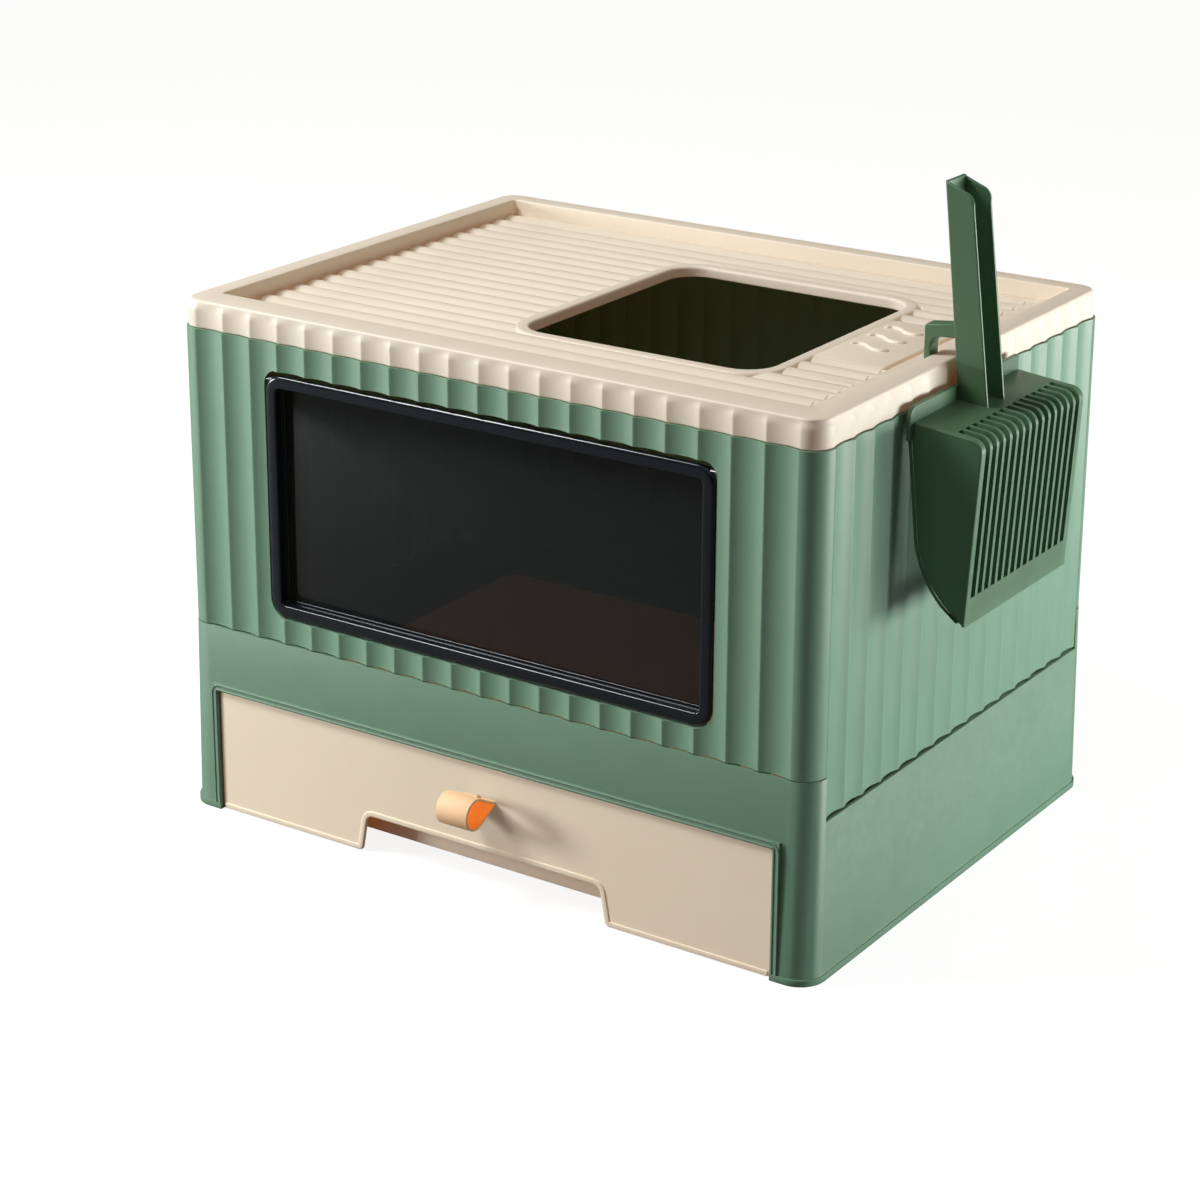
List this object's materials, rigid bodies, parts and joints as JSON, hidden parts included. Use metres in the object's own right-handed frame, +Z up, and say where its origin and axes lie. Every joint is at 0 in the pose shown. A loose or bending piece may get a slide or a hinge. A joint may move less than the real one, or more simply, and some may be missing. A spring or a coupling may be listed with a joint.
{
  "type": "drawer litter box",
  "caption": "Enclosed cat litter box with fold-in fluted walls, a ribbed lid with an entry hole, a smoked flip-up door, a pull-out litter drawer and a hook-on scoop.",
  "frame": {"origin": "centre of the base's footprint on its underside", "axes": "+X right seen from the drawer side, -Y out of the drawer front, +Z up"},
  "size_m": [0.57, 0.4303, 0.493],
  "materials": {
    "green_plastic": "satin moulded polypropylene",
    "dark_green_plastic": "satin moulded polypropylene",
    "beige_lid": "satin moulded polypropylene",
    "beige_drawer": "satin moulded polypropylene",
    "orange_strap": "soft satin strap",
    "dark_frame": "polished moulding",
    "smoked_pane": "smoked clear sheet",
    "pin_steel": "drawn wire"
  },
  "bodies": {
    "base": {"base_frame": "green_plastic", "front_panel": "green_plastic", "back_panel": "green_plastic", "front_hinge_pins": "pin_steel", "back_hinge_pins": "pin_steel", "left_hinge_pins": "pin_steel", "right_hinge_pins": "pin_steel", "door_hinge_pins": "pin_steel"},
    "drawer": {"drawer": "beige_drawer", "pull_tab": "orange_strap", "pull_tab_pin": "pin_steel"},
    "door": {"door_frame": "dark_frame", "door_pane": "smoked_pane"},
    "lid": {"lid": "beige_lid"},
    "scoop": {"scoop": "dark_green_plastic"},
    "left_side": {"left_panel": "green_plastic"},
    "right_side": {"right_panel": "green_plastic"}
  },
  "joints": [
    {"name": "drawer_slide", "type": "slide", "parent": "base", "child": "drawer", "axis": [0, -1, 0], "range_m": [0, 0.3]},
    {"name": "door_swing", "type": "hinge", "parent": "base", "child": "door", "pos_m": [0, -0.192, 0.3303], "axis": [-1, 0, 0], "range_deg": [0, 90]},
    {"name": "lid_lift", "type": "slide", "parent": "base", "child": "lid", "axis": [0, 0, 1], "range_m": [0, 0.2]},
    {"name": "scoop_lift", "type": "slide", "parent": "lid", "child": "scoop", "axis": [0, 0, 1], "range_m": [0, 0.12]},
    {"name": "left_fold", "type": "hinge", "parent": "base", "child": "left_side", "pos_m": [-0.2485, 0, 0.116], "axis": [0, 1, 0], "range_deg": [0, 90]},
    {"name": "right_fold", "type": "hinge", "parent": "base", "child": "right_side", "pos_m": [0.2485, 0, 0.116], "axis": [0, -1, 0], "range_deg": [0, 90]}
  ]
}
